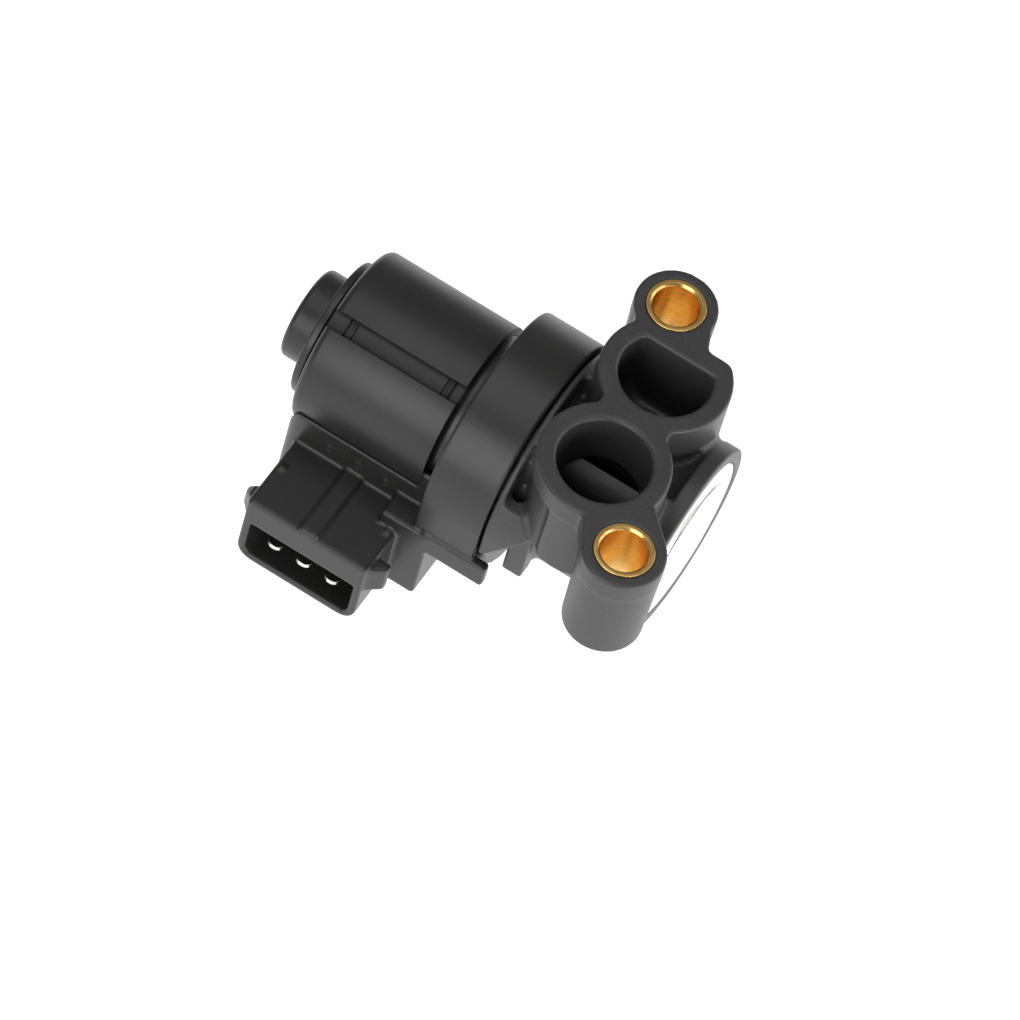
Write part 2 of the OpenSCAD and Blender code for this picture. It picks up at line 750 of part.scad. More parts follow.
// Blade terminal: flat blade with a bevelled tip, bent up towards the coil
module terminal(step) {
  x = plug_x + step * terminal_pitch;
  bevel = terminal_t / 4;
  top = axis_z - shell_in_r - 0.25;
  color("silver") translate([x - terminal_w / 2, 0, 0]) {
    translate([0, 0, terminal_z]) rotate([90, 0, 90]) linear_extrude(terminal_w) polygon([
      [terminal_y, -bevel], [terminal_y + 1.2, -terminal_t / 2], [axis_y + terminal_t / 2, -terminal_t / 2],
      [axis_y + terminal_t / 2, top - terminal_z], [axis_y - terminal_t / 2, top - terminal_z],
      [axis_y - terminal_t / 2, terminal_t / 2], [terminal_y + 1.2, terminal_t / 2], [terminal_y, bevel]
    ]);
  }
}

module terminal_left() {
  terminal(-1);
}

module terminal_middle() {
  terminal(0);
}

module terminal_right() {
  terminal(1);
}

// Rolled steel shell with its open seam and a window for the terminals
module yoke_shell() {
  color(black) difference() {
    ring(shell_x0, shell_x1, shell_r, shell_in_r);
    on_axis(shell_x0) rotate_extrude() difference() {
      translate([shell_r - shell_edge, -1]) square([shell_edge + 1, shell_edge + 1]);
      translate([shell_r - shell_edge, shell_edge]) circle(shell_edge);
    }
    sector(shell_x0 - 1, shell_x1 + 1, shell_r + 1, shell_in_r - 1, seam_angle - seam_width / 2, seam_width);
    block([plug_x - 8, axis_y - 2, axis_z - shell_r - 1], [plug_x + 8, axis_y + 2, axis_z - 5]);
  }
}

module rear_cap() {
  color(black) difference() {
    union() {
      on_axis(boss_x0) rotate_extrude() {
        difference() {
          square([boss_r, boss_len + bite]);
          translate([boss_r - boss_edge, 0]) square(boss_edge);
        }
        translate([boss_r - boss_edge, boss_edge]) circle(boss_edge);
      }
      on_axis(disc_x0) rotate_extrude() {
        square([disc_r - disc_edge, disc_t]);
        translate([0, disc_edge]) square([disc_r, disc_t - disc_edge]);
        translate([disc_r - disc_edge, disc_edge]) circle(disc_edge);
      }
      rod(disc_x1 - bite, shell_x0, disc_r - slit_t);
      rod(shell_x0 - bite, stator_x0 - slide_gap, shell_in_r - slide_gap);
    }
    rod(rear_bearing_x - 0.35, stator_x0, bearing_r + press_gap);
    rod(shell_x0 + 1, stator_x0, shell_in_r - slide_gap - 1.6);
    rod(boss_x0 + 0.9, stator_x0, shaft_r + 1.2);
  }
}

// Rubbing washer that loads the rear bearing
module bearing_shim() {
  color("silver") ring(rear_bearing_x - 0.3, rear_bearing_x - 0.05, bearing_r - 0.1, bearing_r - 1.1);
}

// Outer race with its ball groove
module outer_race(x) {
  color("silver") difference() {
    ring(x, x + bearing_w, bearing_r, bearing_mid_r + race_gap);
    ball_groove(x);
  }
}

// Inner race with its ball groove
module inner_race(x) {
  color("silver") difference() {
    ring(x, x + bearing_w, bearing_mid_r - race_gap, shaft_r + press_gap);
    ball_groove(x);
  }
}

// Round groove in which the balls run
module ball_groove(x) {
  on_axis(x + bearing_w / 2) rotate_extrude() translate([bearing_mid_r, 0]) circle(groove_r);
}

// Ring of balls
module balls(x) {
  color("silver") on_axis(x + bearing_w / 2) for (i = [0:ball_count - 1])
    rotate([0, 0, i * 360 / ball_count]) translate([bearing_mid_r, 0, 0]) sphere(ball_r);
}

module rear_bearing_outer() {
  outer_race(rear_bearing_x);
}

module front_bearing_outer() {
  outer_race(front_bearing_x);
}

module rear_bearing_inner() {
  inner_race(rear_bearing_x);
}

module front_bearing_inner() {
  inner_race(front_bearing_x);
}

module rear_bearing_balls() {
  balls(rear_bearing_x);
}

module front_bearing_balls() {
  balls(front_bearing_x);
}

// Former of the two windings, with a flange at each end and one in the middle
module coil_bobbin() {
  color("ivory") difference() {
    rod(bobbin_x0, bobbin_x1, bobbin_out_r);
    rod(bobbin_x0 - 1, bobbin_x1 + 1, bobbin_in_r);
    for (half = [0, 1]) winding_space(half, 0, bobbin_out_r + 1);
  }
}

// Black cover that is moulded over the windings
module coil_cover() {
  color(black) ring(bobbin_x0, bobbin_x1, coil_cover_r, coil_cover_r - coil_cover_t);
}

// Room of one winding on the bobbin
module winding_space(half, gap, outer) {
  x0 = half == 0 ? bobbin_x0 + bobbin_wall : bobbin_mid + bobbin_wall / 2;
  x1 = half == 0 ? bobbin_mid - bobbin_wall / 2 : bobbin_x1 - bobbin_wall;
  ring(x0 + gap, x1 - gap, outer, bobbin_in_r + bobbin_wall + gap);
}

module winding_close() {
  color("sienna") winding_space(0, press_gap, winding_r);
}

module winding_open() {
  color("sienna") winding_space(1, press_gap, winding_r);
}

// Pole plate with claws that reach over the magnet
module pole_plate(x0, claw_x0, claw_x1, turn) {
  claw_sweep = 180 / claw_count - 16;
  from = turn - claw_sweep / 2;
  color("silver") {
    ring(x0, x0 + pole_t, shell_in_r - slide_gap, claw_in_r + pole_t / 4);
    for (i = [0:claw_count - 1])
      sector(claw_x0, claw_x1, claw_out_r, claw_in_r, from + i * 360 / claw_count, claw_sweep);
  }
}

module pole_plate_rear() {
  pole_plate(stator_x0, stator_x0 + pole_t / 4, bobbin_x1 - 1, 0);
}

module pole_plate_front() {
  pole_plate(stator_x1 - pole_t, bobbin_x0 + 1, stator_x1 - pole_t / 4, 180 / claw_count);
}

module rotor_shaft() {
  color("silver") difference() {
    union() {
      on_axis(shaft_x0) cylinder(h = 0.4, r1 = shaft_r - 0.4, r2 = shaft_r);
      rod(shaft_x0 + 0.4 - bite, shaft_x1 - 0.4, shaft_r);
      on_axis(shaft_x1 - 0.4 - bite) cylinder(h = 0.4, r1 = shaft_r, r2 = shaft_r - 0.4);
    }
    ring(clip_x - press_gap, clip_x + clip_t + press_gap, shaft_r + 1, shaft_r - 0.35);
  }
}

// Spring clip in the groove of the shaft
module shaft_clip() {
  color("silver")
    sector(clip_x, clip_x + clip_t, shaft_r + 0.9, shaft_r - 0.35 + press_gap, 120, 300);
}

module magnet_hub() {
  color("lightgray")
    ring(magnet_x0 - 0.4, magnet_x0 + magnet_len + 0.4, magnet_r - magnet_wall, shaft_r + press_gap);
}

module magnet_ring() {
  color("darkslategray")
    ring(magnet_x0, magnet_x0 + magnet_len, magnet_r, magnet_r - magnet_wall + press_gap);
}

// Rotary slide: skirt that covers the round port, on two discs and a hub
module rotary_shutter() {
  from = shutter_angle - shutter_sweep / 2;
  color("silver") difference() {
    union() {
      rod(shutter_x0, shutter_x1, hub_r);
      rod(shutter_x0 + 0.2, shutter_x0 + 0.2 + shutter_disc, stop_place + stop_r + 1.6);
      on_axis(shutter_x0 + 0.1) rotate([0, 0, from]) rotate_extrude(angle = shutter_sweep) shutter_profile();
    }
    rod(shutter_x0 - 1, shutter_x1 + 1, shaft_r + press_gap);
    stop_slot();
  }
}

// Half section of the skirt with its two end walls
module shutter_profile() {
  length = shutter_x1 - shutter_x0 - 0.2;
  polygon([
    [hub_r - 0.5, 0], [shutter_r, 0], [shutter_r, length], [hub_r - 0.5, length],
    [hub_r - 0.5, length - shutter_disc], [shutter_r - shutter_wall, length - shutter_disc],
    [shutter_r - shutter_wall, shutter_disc], [hub_r - 0.5, shutter_disc]
  ]);
}

// Curved slot of the shutter disc in which the stop pin travels
module stop_slot() {
  width = stop_r + 0.25;
  x0 = shutter_x0 - 1;
  x1 = shutter_x0 + shutter_disc + 1;
  sector(x0, x1, stop_place + width, stop_place - width, stop_angle - turn_on - 2, turn_on + turn_back + 4);
  for (turn = [-turn_on - 2, turn_back + 2])
    on_axis(x0) rotate([0, 0, stop_angle + turn]) translate([stop_place, 0, 0])
      cylinder(h = x1 - x0, r = width);
}

valve_housing();
end_cover();
end_cover_seal();
cover_bush();
sleeve_upper();
sleeve_lower();
stop_pin();
shaft_seal();
joint_seal();
actuator_body();
yoke_shell();
rear_cap();
terminal_left();
terminal_middle();
terminal_right();
coil_bobbin();
coil_cover();
winding_close();
winding_open();
pole_plate_rear();
pole_plate_front();
bearing_shim();
rear_bearing_outer();
front_bearing_outer();
rear_bearing_inner();
front_bearing_inner();
rear_bearing_balls();
front_bearing_balls();
rotor_shaft();
shaft_clip();
magnet_hub();
magnet_ring();
rotary_shutter();
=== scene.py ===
# Rotary idle air control valve: looks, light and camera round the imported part.
import json
import math

import bmesh
import bpy
from mathutils import Matrix, Vector


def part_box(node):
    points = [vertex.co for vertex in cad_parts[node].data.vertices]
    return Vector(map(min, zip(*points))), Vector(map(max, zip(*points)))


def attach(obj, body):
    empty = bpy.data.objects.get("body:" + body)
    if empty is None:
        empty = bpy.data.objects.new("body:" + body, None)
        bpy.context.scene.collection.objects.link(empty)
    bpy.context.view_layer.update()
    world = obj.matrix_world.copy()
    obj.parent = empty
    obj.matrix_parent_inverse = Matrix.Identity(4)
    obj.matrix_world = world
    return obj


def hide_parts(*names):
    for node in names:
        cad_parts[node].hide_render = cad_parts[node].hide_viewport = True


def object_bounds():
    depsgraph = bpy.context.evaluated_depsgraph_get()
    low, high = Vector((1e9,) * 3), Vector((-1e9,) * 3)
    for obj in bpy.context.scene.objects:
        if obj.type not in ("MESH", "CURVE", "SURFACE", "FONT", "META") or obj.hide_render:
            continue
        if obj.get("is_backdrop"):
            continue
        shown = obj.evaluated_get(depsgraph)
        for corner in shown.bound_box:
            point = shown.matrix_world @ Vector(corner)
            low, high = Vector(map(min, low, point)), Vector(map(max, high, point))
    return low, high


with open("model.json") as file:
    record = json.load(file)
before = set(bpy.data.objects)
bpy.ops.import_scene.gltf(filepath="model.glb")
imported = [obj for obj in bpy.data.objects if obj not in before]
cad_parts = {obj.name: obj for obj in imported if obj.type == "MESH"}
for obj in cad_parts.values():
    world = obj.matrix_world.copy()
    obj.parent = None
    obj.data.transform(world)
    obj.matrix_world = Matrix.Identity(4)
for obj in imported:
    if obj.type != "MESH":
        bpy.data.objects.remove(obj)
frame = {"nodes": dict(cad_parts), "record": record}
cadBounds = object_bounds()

mm = 0.001
nodes = frame["nodes"]
scene = bpy.context.scene
slotOf = {part["node"]: part["material_slot"] for part in frame["record"]["subparts"]}


# Camera
cameraSettings = {
    "right": (0.8433, 0.5109, 0.1671),
    "up": (-0.5137, 0.6744, 0.5304),
    "back": (0.1583, -0.5331, 0.8311),
    "offset": (-13.88, -7.264, 1373.2),   # mm along right, up and back
    "sensor": 36.0,
    "pictureWidth": 149.14,               # mm seen across the picture at the port face
}


def addCamera(c):
    right = Vector(c["right"]).normalized()
    back = Vector(c["back"])
    back = (back - right * back.dot(right)).normalized()
    up = back.cross(right)
    turn = Matrix((right, up, back)).transposed()
    camera = bpy.data.objects.new("camera", bpy.data.cameras.new("camera"))
    camera.matrix_world = Matrix.Translation(turn @ Vector(c["offset"]) * mm) @ turn.to_4x4()
    camera.data.sensor_width = c["sensor"]
    camera.data.lens = c["sensor"] * c["offset"][2] / c["pictureWidth"]
    camera.data.clip_start = 0.05
    camera.data.clip_end = 20
    scene.collection.objects.link(camera)
    scene.camera = camera
    return camera


camera = addCamera(cameraSettings)
print("camera placed")


# Shader kit
class Wire:   # a socket of a node tree, with the maths that the materials use
    def __init__(self, tree, socket):
        self.tree = tree
        self.socket = socket

    def put(self, operation, other, swap=False):
        node = self.tree.nodes.new("ShaderNodeMath")
        node.operation = operation
        first, second = (other, self) if swap else (self, other)
        for index, value in enumerate((first, second)):
            if isinstance(value, Wire):
                self.tree.links.new(value.socket, node.inputs[index])
            else:
                node.inputs[index].default_value = value
        return Wire(self.tree, node.outputs[0])

    def __add__(self, other):
        return self.put("ADD", other)

    def __radd__(self, other):
        return self.put("ADD", other, True)

    def __sub__(self, other):
        return self.put("SUBTRACT", other)

    def __rsub__(self, other):
        return self.put("SUBTRACT", other, True)

    def __mul__(self, other):
        return self.put("MULTIPLY", other)

    def __rmul__(self, other):
        return self.put("MULTIPLY", other, True)

    def __truediv__(self, other):
        return self.put("DIVIDE", other)

    def atLeast(self, other):
        return self.put("MAXIMUM", other)

    def clamped(self):
        return self.put("MAXIMUM", 0.0).put("MINIMUM", 1.0)


class Shader:   # one material's node tree
    def __init__(self, name):
        self.material = bpy.data.materials.new(name)
        self.material.use_nodes = True
        self.tree = self.material.node_tree
        self.tree.nodes.clear()

    def add(self, kind, settings=None, stops=None, out=0, **sockets):
        node = self.tree.nodes.new("ShaderNode" + kind)
        for key, value in (settings or {}).items():
            setattr(node, key, value)
        if stops:
            ramp = node.color_ramp
            while len(ramp.elements) > 1:
                ramp.elements.remove(ramp.elements[0])
            ramp.elements[0].position = stops[0][0]
            ramp.elements[0].color = (*stops[0][1], 1)
            for place, colour in stops[1:]:
                ramp.elements.new(place).color = (*colour, 1)
        for name, value in sockets.items():
            byIndex = name[0] == "i" and name[1:].isdigit()
            socket = node.inputs[int(name[1:])] if byIndex else node.inputs[name]
            if isinstance(value, Wire):
                self.tree.links.new(value.socket, socket)
            elif isinstance(value, tuple) and len(value) == 3 and socket.type == "RGBA":
                socket.default_value = (*value, 1)
            else:
                socket.default_value = value
        return Wire(self.tree, node.outputs[out])

    def finish(self, surface):
        output = self.tree.nodes.new("ShaderNodeOutputMaterial")
        self.tree.links.new(surface.socket, output.inputs["Surface"])
        return self.material


def place(shader):
    return shader.add("TexCoord", out=3)


def principled(shader, **values):
    names = {key.replace("_", " "): value for key, value in values.items()}
    return shader.add("BsdfPrincipled", **names)


# Black moulded plastics and paint
plasticKinds = {
    "housing_plastic": {"low": (0.030, 0.030, 0.031), "high": (0.052, 0.052, 0.053), "rough": 0.40,
                        "roughSpread": 0.16, "grain": 2600, "grainDepth": 0.25, "edge": 0.22},
    "actuator_plastic": {"low": (0.016, 0.0155, 0.015), "high": (0.023, 0.0225, 0.022), "rough": 0.36,
                         "roughSpread": 0.10, "grain": 2200, "grainDepth": 0.08, "edge": 0.18},
    "shell_steel": {"low": (0.014, 0.0137, 0.0135), "high": (0.019, 0.0187, 0.0185), "rough": 0.38,
                    "roughSpread": 0.08, "grain": 1500, "grainDepth": 0.05, "edge": 0.12},
    "bobbin_plastic": {"low": (0.02, 0.02, 0.02), "high": (0.03, 0.03, 0.03), "rough": 0.5,
                       "roughSpread": 0.1, "grain": 2000, "grainDepth": 0.1, "edge": 0.1},
    "seal_rubber": {"low": (0.012, 0.012, 0.012), "high": (0.02, 0.02, 0.02), "rough": 0.7,
                    "roughSpread": 0.1, "grain": 3000, "grainDepth": 0.2, "edge": 0.1},
    "magnet_ceramic": {"low": (0.05, 0.05, 0.053), "high": (0.08, 0.08, 0.085), "rough": 0.55,
                       "roughSpread": 0.15, "grain": 1800, "grainDepth": 0.15, "edge": 0.1},
}


def makePlastic(name, k):
    s = Shader(name)
    where = place(s)
    grain = s.add("TexNoise", Vector=where, Scale=float(k["grain"]), Detail=3.0)
    cloud = s.add("TexNoise", Vector=where, Scale=90.0, Detail=4.0)
    tone = (grain * 0.6 + cloud * 0.4).clamped()
    colour = s.add("ValToRGB", stops=[(0.3, k["low"]), (0.7, k["high"])], Fac=tone)
    rough = k["rough"] + (cloud - 0.5) * k["roughSpread"] + (grain - 0.5) * (k["roughSpread"] * 0.5)
    soft = s.add("Bevel", {"samples": 6}, Radius=k["edge"] * mm)
    bump = s.add("Bump", Strength=k["grainDepth"], Distance=0.00005, Height=grain, Normal=soft)
    return s.finish(principled(s, Base_Color=colour, Roughness=rough.clamped(), Normal=bump,
                               Specular_IOR_Level=0.5))


# Metals
metalKinds = {
    "brass": {"low": (0.62, 0.36, 0.10), "high": (0.92, 0.62, 0.24),
              "rough": 0.24, "spread": 0.14, "around": 380},
    "terminal_metal": {"low": (0.62, 0.61, 0.58), "high": (0.86, 0.85, 0.82),
                       "rough": 0.22, "spread": 0.1, "around": 300},
    "bright_steel": {"low": (0.48, 0.48, 0.49), "high": (0.68, 0.68, 0.69),
                     "rough": 0.26, "spread": 0.1, "around": 300},
    "pole_steel": {"low": (0.035, 0.035, 0.037), "high": (0.06, 0.06, 0.062),
                   "rough": 0.5, "spread": 0.1, "around": 200},
    "shutter_alloy": {"low": (0.03, 0.03, 0.031), "high": (0.05, 0.05, 0.051),
                      "rough": 0.34, "spread": 0.14, "around": 200},
    "cover_alloy": {"low": (0.74, 0.74, 0.73), "high": (0.86, 0.86, 0.85),
                    "rough": 0.3, "spread": 0.1, "around": 200},
    "bush_bronze": {"low": (0.36, 0.2, 0.08), "high": (0.56, 0.36, 0.17),
                    "rough": 0.4, "spread": 0.1, "around": 300},
    "copper_wire": {"low": (0.30, 0.09, 0.03), "high": (0.5, 0.19, 0.07),
                    "rough": 0.3, "spread": 0.1, "around": 600},
}




def makeMetal(name, k):
    s = Shader(name)
    where = place(s)
    turning = s.add("Mapping", Vector=where, Scale=(1.0, 1.0, 12.0))
    lines = s.add("TexNoise", Vector=turning, Scale=float(k["around"]), Detail=3.0)
    cloud = s.add("TexNoise", Vector=where, Scale=140.0, Detail=3.0)
    tone = (lines * 0.5 + cloud * 0.5).clamped()
    colour = s.add("ValToRGB", stops=[(0.3, k["low"]), (0.7, k["high"])], Fac=tone)
    rough = (k["rough"] + (lines - 0.5) * k["spread"]).clamped()
    soft = s.add("Bevel", {"samples": 4}, Radius=0.08 * mm)
    bump = s.add("Bump", Strength=0.12, Distance=0.00004, Height=lines, Normal=soft)
    return s.finish(principled(s, Base_Color=colour, Roughness=rough, Metallic=1.0, Normal=bump))


materials = {name: makePlastic(name, k) for name, k in plasticKinds.items()}
materials.update({name: makeMetal(name, k) for name, k in metalKinds.items()})
print("materials made:", len(materials))


for name, piece in nodes.items():
    for index in range(len(piece.material_slots)):
        piece.material_slots[index].material = materials[slotOf[name]]
print("solids dressed:", len(nodes))


# Modelling kit: pieces are made in millimetres, and seat() brings them to metres
def boxOf(name):
    low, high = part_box(name)
    return Vector(low) / mm, Vector(high) / mm


capLow, capHigh = boxOf("rear_cap")
axisY = (capLow.y + capHigh.y) / 2
axisZ = (capLow.z + capHigh.z) / 2


def upright(x, y, z):
    return (x, y, z)


def towardsBack(x, y, z):
    return (x, z, y)


def alongRotor(x, y, z):
    return (z, axisY + x, axisZ + y)


def newPiece(verts, faces):
    mesh = bpy.data.meshes.new("piece")
    mesh.from_pydata(verts, [], faces)
    grid = bmesh.new()
    grid.from_mesh(mesh)
    bmesh.ops.remove_doubles(grid, verts=grid.verts, dist=0.0005)
    bmesh.ops.recalc_face_normals(grid, faces=grid.faces)
    grid.to_mesh(mesh)
    grid.free()
    piece = bpy.data.objects.new("piece", mesh)
    scene.collection.objects.link(piece)
    return piece


def rounded(corners, steps=5):   # outline of (x, y, radius) corners, each turned into an arc
    points = []
    for index, (x, y, radius) in enumerate(corners):
        if radius <= 0:
            points.append((x, y))
            continue
        here = Vector((x, y))
        first = (Vector(corners[index - 1][:2]) - here).normalized()
        second = (Vector(corners[(index + 1) % len(corners)][:2]) - here).normalized()
        half = first.angle(second) / 2
        centre = here + (first + second).normalized() * radius / math.sin(half)
        start = here + first * radius / math.tan(half) - centre
        end = here + second * radius / math.tan(half) - centre
        begin = math.atan2(start.y, start.x)
        turn = (math.atan2(end.y, end.x) - begin + math.pi) % (2 * math.pi) - math.pi
        for step in range(steps + 1):
            angle = begin + turn * step / steps
            points.append((centre.x + radius * math.cos(angle), centre.y + radius * math.sin(angle)))
    return points


def lathe(corners, put, centre=(0.0, 0.0), start=0.0, sweep=360.0, segments=200):
    outline = rounded(corners)
    full = sweep >= 360
    turns = segments if full else segments + 1
    count = len(outline)
    verts = []
    for index in range(turns):
        angle = math.radians(start + sweep * index / segments)
        for radius, height in outline:
            across = centre[0] + radius * math.cos(angle)
            along = centre[1] + radius * math.sin(angle)
            verts.append(put(across, along, height))
    faces = []
    for index in range(segments):
        here, there = index * count, (index + 1) % turns * count
        for k in range(count):
            after = (k + 1) % count
            faces.append((here + k, here + after, there + after, there + k))
    if not full:
        faces += [tuple(range(count)), tuple(range((turns - 1) * count, turns * count))]
    return newPiece(verts, faces)


def prism(outline, low, high, put=upright):
    count = len(outline)
    verts = [put(x, y, low) for x, y in outline] + [put(x, y, high) for x, y in outline]
    faces = [tuple(range(count)), tuple(range(count, 2 * count))]
    faces += [(k, (k + 1) % count, count + (k + 1) % count, count + k) for k in range(count)]
    return newPiece(verts, faces)


def block(low, high):
    plan = [(low[0], low[1]), (high[0], low[1]), (high[0], high[1]), (low[0], high[1])]
    return prism(plan, low[2], high[2])


def copyOf(name):   # the node's own mesh, merged, in millimetres
    mesh = nodes[name].data.copy()
    mesh.transform(Matrix.Scale(1 / mm, 4))
    grid = bmesh.new()
    grid.from_mesh(mesh)
    bmesh.ops.remove_doubles(grid, verts=grid.verts, dist=0.002)
    grid.to_mesh(mesh)
    grid.free()
    piece = bpy.data.objects.new("piece", mesh)
    scene.collection.objects.link(piece)
    return piece


def addModifier(piece, kind, **settings):
    modifier = piece.modifiers.new(kind.lower(), kind)
    for key, value in settings.items():
        setattr(modifier, key, value)
    return modifier


def bake(piece):   # puts the modifiers' result into a plain mesh
    bpy.context.view_layer.update()
    graph = bpy.context.evaluated_depsgraph_get()
    mesh = bpy.data.meshes.new_from_object(piece.evaluated_get(graph))
    piece.modifiers.clear()
    piece.data = mesh
    return piece


def combine(base, adds=(), cuts=()):
    for operation, others in (("UNION", adds), ("DIFFERENCE", cuts)):
        for other in others:
            addModifier(base, "BOOLEAN", solver="MANIFOLD", operation=operation, object=other)
    bake(base)
    for other in list(adds) + list(cuts):
        bpy.data.objects.remove(other)
    return base


def mould(piece, k):   # rounds outer edges and fills inner corners, as a moulding has them
    addModifier(piece, "REMESH", mode="VOXEL", voxel_size=k["voxel"])
    if k["fillet"] > 0:
        for strength in (k["fillet"], -k["fillet"]):
            addModifier(piece, "DISPLACE", strength=strength, mid_level=0.0)
            addModifier(piece, "REMESH", mode="VOXEL", voxel_size=k["voxel"])
    addModifier(piece, "SMOOTH", factor=0.5, iterations=k["smooth"])
    addModifier(piece, "DISPLACE", strength=k["grow"], mid_level=0.0)
    addModifier(piece, "DECIMATE", ratio=k["keep"])
    return bake(piece)


def seat(piece, name, body, slot, *stoodFor, crease=35):
    piece.name = name
    piece.data.name = name
    piece.data.transform(Matrix.Scale(mm, 4))
    piece.data.materials.clear()
    piece.data.materials.append(materials[slot])
    piece.data.polygons.foreach_set("use_smooth", [True] * len(piece.data.polygons))
    piece.data.set_sharp_from_angle(angle=math.radians(crease))
    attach(piece, body)
    if stoodFor:
        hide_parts(*stoodFor)
    print(name, len(piece.data.polygons), "faces")
    return piece


# Valve housing
housingShape = {"voxel": 0.2, "fillet": 0.7, "smooth": 2, "grow": 0.04, "keep": 0.42}


def makeHousing(k):
    piece = copyOf("valve_housing")
    mould(piece, k)
    return seat(piece, "housing_moulding", "housing", "housing_plastic", "valve_housing", crease=70)


makeHousing(housingShape)

# Actuator body with its connector; the right snap lug is larger and the left one has a cut corner
bodyShape = {
    "voxel": 0.2, "fillet": 0.2, "smooth": 4, "grow": 0.11, "keep": 0.42,
    "neckRadius": 12.45, "neckOutside": 13.8, "collarStep": 2.3,
    "plugHalf": 10.3, "lugTop": -31.85, "lugHeight": 5.2, "lugRoot": 0.5, "lugNose": 0.2,
    "lugReach": 2.4, "lugFrom": 0.9, "lugPeak": 2.7, "lugTo": 3.9,
    "leftReach": 1.9, "cornerCut": 1.5, "cornerOver": 0.3, "cornerDepth": 5,
}


def makeBody(k):
    piece = copyOf("actuator_body")
    shellEnd = boxOf("yoke_shell")[1].x
    collarStart = shellEnd + k["collarStep"]
    groove = lathe([
        (k["neckRadius"], shellEnd, 0), (k["neckOutside"], shellEnd, 0), (k["neckOutside"], collarStart, 0),
        (k["neckRadius"], collarStart, 0)], alongRotor)
    low, high = boxOf("terminal_middle")
    middle = (low.x + high.x) / 2
    mouth = boxOf("actuator_body")[0].y
    side = middle + k["plugHalf"]
    tip = side + k["lugReach"]
    root = side - k["lugRoot"]
    top = k["lugTop"]
    lug = prism([
        (root, mouth + k["lugFrom"]), (side + k["lugNose"], mouth + k["lugFrom"]),
        (tip, mouth + k["lugPeak"]), (tip, mouth + k["lugTo"]), (root, mouth + k["lugTo"])],
        top - k["lugHeight"], top)
    left = middle - k["plugHalf"] - k["leftReach"]
    over = top + k["cornerOver"]
    slope = prism([(left, over), (left + k["cornerCut"], over), (left, top - k["cornerCut"])],
                  mouth, mouth + k["cornerDepth"], towardsBack)
    combine(piece, adds=[lug], cuts=[groove, slope])
    mould(piece, k)
    return seat(piece, "actuator_moulding", "housing", "actuator_plastic", "actuator_body", crease=70)


makeBody(bodyShape)

# Steel shell, rolled from sheet, with its open seam and the window over the terminals' way in
shellShape = {
    "outer": 14.45, "wall": 1.3, "rearRound": 1.25, "edge": 0.15, "seamMiddle": 118.4, "seamWidth": 12.4,
    "windowLow": (-42.75, 7.3, -37), "windowHigh": (-26.75, 11.3, -26), "segments": 240,
}


def makeShell(k):
    low, high = boxOf("yoke_shell")
    inner = k["outer"] - k["wall"]
    piece = lathe([
        (inner, low.x, 0), (k["outer"], low.x, k["rearRound"]), (k["outer"], high.x, k["edge"]),
        (inner, high.x, k["edge"])], alongRotor, start=k["seamMiddle"] + k["seamWidth"] / 2,
        sweep=360 - k["seamWidth"], segments=k["segments"])
    combine(piece, cuts=[block(k["windowLow"], k["windowHigh"])])
    return seat(piece, "steel_shell", "housing", "shell_steel", "yoke_shell")


makeShell(shellShape)

# Rear cap with its bearing boss and the slit before the shell
capShape = {
    "boss": 7.4, "bossRound": 0.9, "bossRoot": 0.25, "disc": 11.15, "discThick": 1.3, "discRound": 0.4,
    "slit": 0.65, "slitEdge": 0.12, "slitRadius": 9.3, "spigot": 13.05, "pocket": 11.45, "pocketWall": 1.0,
    "bearing": 5.52, "bearingWall": 1.25, "well": 3.2, "wellWall": 0.9,
}


def makeCap(k):
    low, high = boxOf("rear_cap")
    rear, front = low.x, high.x
    shellStart = boxOf("yoke_shell")[0].x
    discFront = shellStart - k["slit"]
    discRear = discFront - k["discThick"]
    pocketFloor = shellStart + k["pocketWall"]
    bearingFloor = rear + k["bearingWall"]
    wellFloor = rear + k["wellWall"]
    piece = lathe([
        (0, rear, 0), (k["boss"], rear, k["bossRound"]), (k["boss"], discRear, k["bossRoot"]),
        (k["disc"], discRear, k["discRound"]), (k["disc"], discFront, k["slitEdge"]),
        (k["slitRadius"], discFront, 0), (k["slitRadius"], shellStart, 0),
        (k["spigot"], shellStart, 0.1), (k["spigot"], front, 0.3), (k["pocket"], front, 0.2),
        (k["pocket"], pocketFloor, 0), (k["bearing"], pocketFloor, 0), (k["bearing"], bearingFloor, 0),
        (k["well"], bearingFloor, 0), (k["well"], wellFloor, 0), (0, wellFloor, 0)], alongRotor)
    return seat(piece, "rear_cap_moulding", "housing", "actuator_plastic", "rear_cap")


makeCap(capShape)

# Pressed end cover
coverShape = {
    "outer": 13.5, "middle": 10.1, "step": 0.5, "thick": 1.9, "edge": 0.3, "rim": 11.6, "rimWall": 1.2,
    "hub": 4.5, "bore": 3.32, "boreWall": 0.9,
}


def makeCover(k):
    low, high = boxOf("end_cover")
    face = high.x - k["step"]
    back = face - k["thick"]
    rimEnd = back - k["rimWall"]
    rimInside = k["rim"] - k["rimWall"]
    boreFloor = back + k["boreWall"]
    piece = lathe([
        (0, high.x, 0), (k["middle"], high.x, k["edge"]), (k["middle"], face, 0.15),
        (k["outer"], face, k["edge"]), (k["outer"], back, 0.1), (k["rim"], back, 0),
        (k["rim"], rimEnd, 0.1), (rimInside, rimEnd, 0.1), (rimInside, back, 0.2),
        (k["hub"], back, 0.2), (k["hub"], low.x, 0.1), (k["bore"], low.x, 0),
        (k["bore"], boreFloor, 0), (0, boreFloor, 0)], alongRotor)
    return seat(piece, "end_cover_pressing", "housing", slotOf["end_cover"], "end_cover")


makeCover(coverShape)

